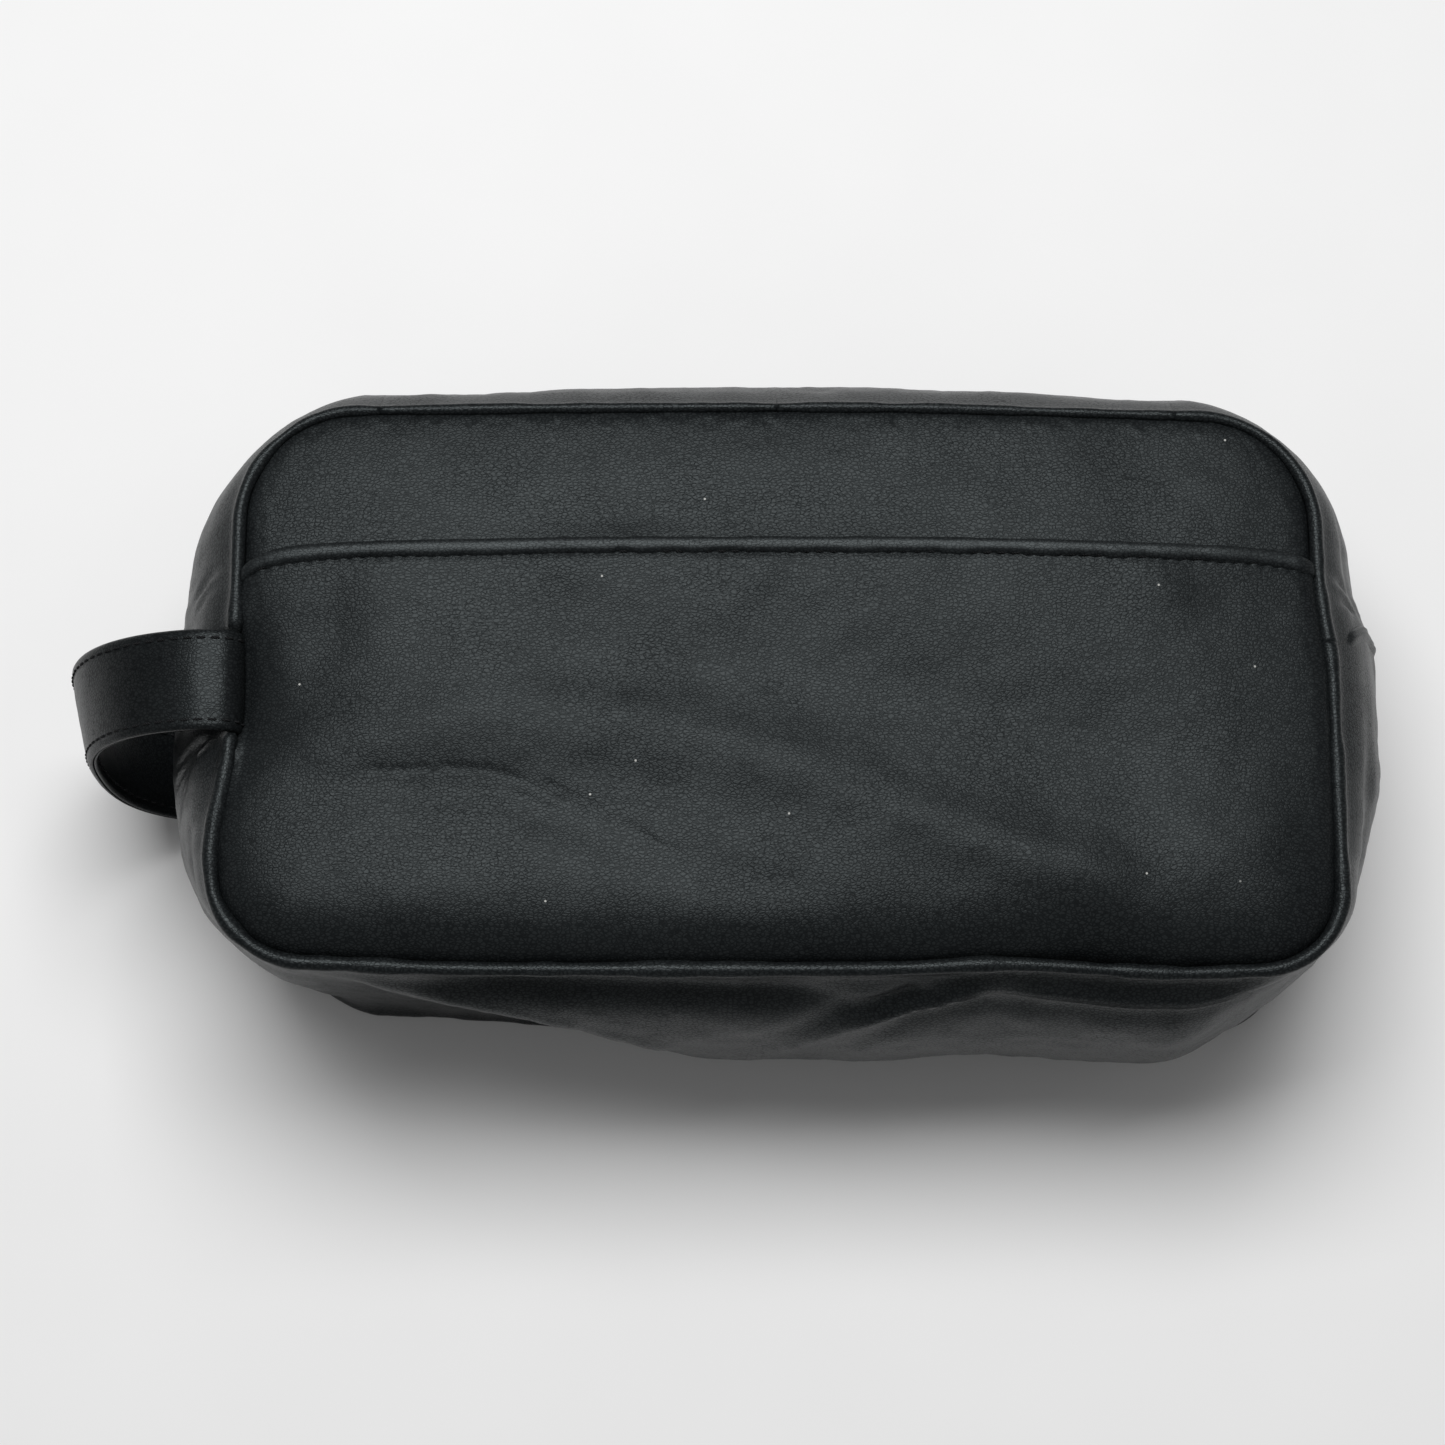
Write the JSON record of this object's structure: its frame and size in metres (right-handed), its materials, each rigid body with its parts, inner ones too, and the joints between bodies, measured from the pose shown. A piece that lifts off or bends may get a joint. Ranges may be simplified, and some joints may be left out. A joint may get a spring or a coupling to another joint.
{
  "type": "makeup bag",
  "caption": "Soft zip-top toiletry and makeup bag lying on its back, with a side loop handle and a full-width slip pocket on the front.",
  "frame": {"origin": "centre of the back panel's outer face, on the surface the bag lies on", "axes": "+Z out of the back panel towards the front pocket, +Y from the base towards the zip, +X along the bag away from the handle"},
  "size_m": [0.3119, 0.1659, 0.0983],
  "materials": {
    "leather": "pebbled, soft sheen",
    "lining": "woven, matte",
    "zip_tape": "woven, matte",
    "zip_teeth": "satin",
    "thread": "matte",
    "zip_metal": "satin dark nickel"
  },
  "bodies": {
    "shell": {"back_panel": "leather", "front_panel": "leather", "base_gusset": "leather", "zip_gusset_left": "leather", "zip_gusset_right": "leather", "seam_roll_front": "leather", "seam_roll_back": "leather", "cross_seam_left": "leather", "cross_seam_right": "leather", "pocket_panel": "leather", "pocket_lining": "lining", "pocket_hem": "leather", "pocket_hem_stitching": "thread", "lining_back": "lining", "lining_front": "lining", "lining_base": "lining", "lining_left": "lining", "lining_right": "lining", "zip_tape_left": "zip_tape", "zip_tape_right": "zip_tape", "zip_teeth_left": "zip_teeth", "zip_teeth_right": "zip_teeth", "strip_stitching_left": "thread", "strip_stitching_right": "thread", "zip_stop_left": "zip_metal", "zip_stop_right": "zip_metal", "handle_anchor_front": "leather", "handle_anchor_back": "leather"},
    "front_lip": {"zip_strip_front": "leather", "lip_lining_front": "lining", "zip_tape_front": "zip_tape", "zip_teeth_front": "zip_teeth", "strip_stitching_front": "thread"},
    "back_lip": {"zip_strip_back": "leather", "lip_lining_back": "lining", "zip_tape_back": "zip_tape", "zip_teeth_back": "zip_teeth", "strip_stitching_back": "thread"},
    "slider": {"zip_slider": "zip_metal"},
    "pull": {"zip_pull": "zip_metal"},
    "handle": {"handle_outer": "leather", "handle_inner": "leather", "handle_stitching": "thread"}
  },
  "joints": [
    {"name": "zip_slide", "type": "slide", "parent": "shell", "child": "slider", "axis": [1, 0, 0], "range_m": [0, 0.17]},
    {"name": "pull_flip", "type": "hinge", "parent": "slider", "child": "pull", "pos_m": [-0.085, 0.0831, 0.049], "axis": [0, 0, -1], "range_deg": [0, 180]},
    {"name": "front_lip_open", "type": "hinge", "parent": "shell", "child": "front_lip", "pos_m": [0, 0.0656, 0.0954], "axis": [1, 0, 0], "range_deg": [0, 55], "stiffness_Nm_per_rad": 0.03},
    {"name": "back_lip_open", "type": "hinge", "parent": "shell", "child": "back_lip", "pos_m": [0, 0.0656, 0.0026], "axis": [-1, 0, 0], "range_deg": [0, 55], "stiffness_Nm_per_rad": 0.03},
    {"name": "handle_swing", "type": "hinge", "parent": "shell", "child": "handle", "pos_m": [-0.136, 0.003, 0.049], "axis": [0, 0, 1], "range_deg": [-40, 40]}
  ]
}
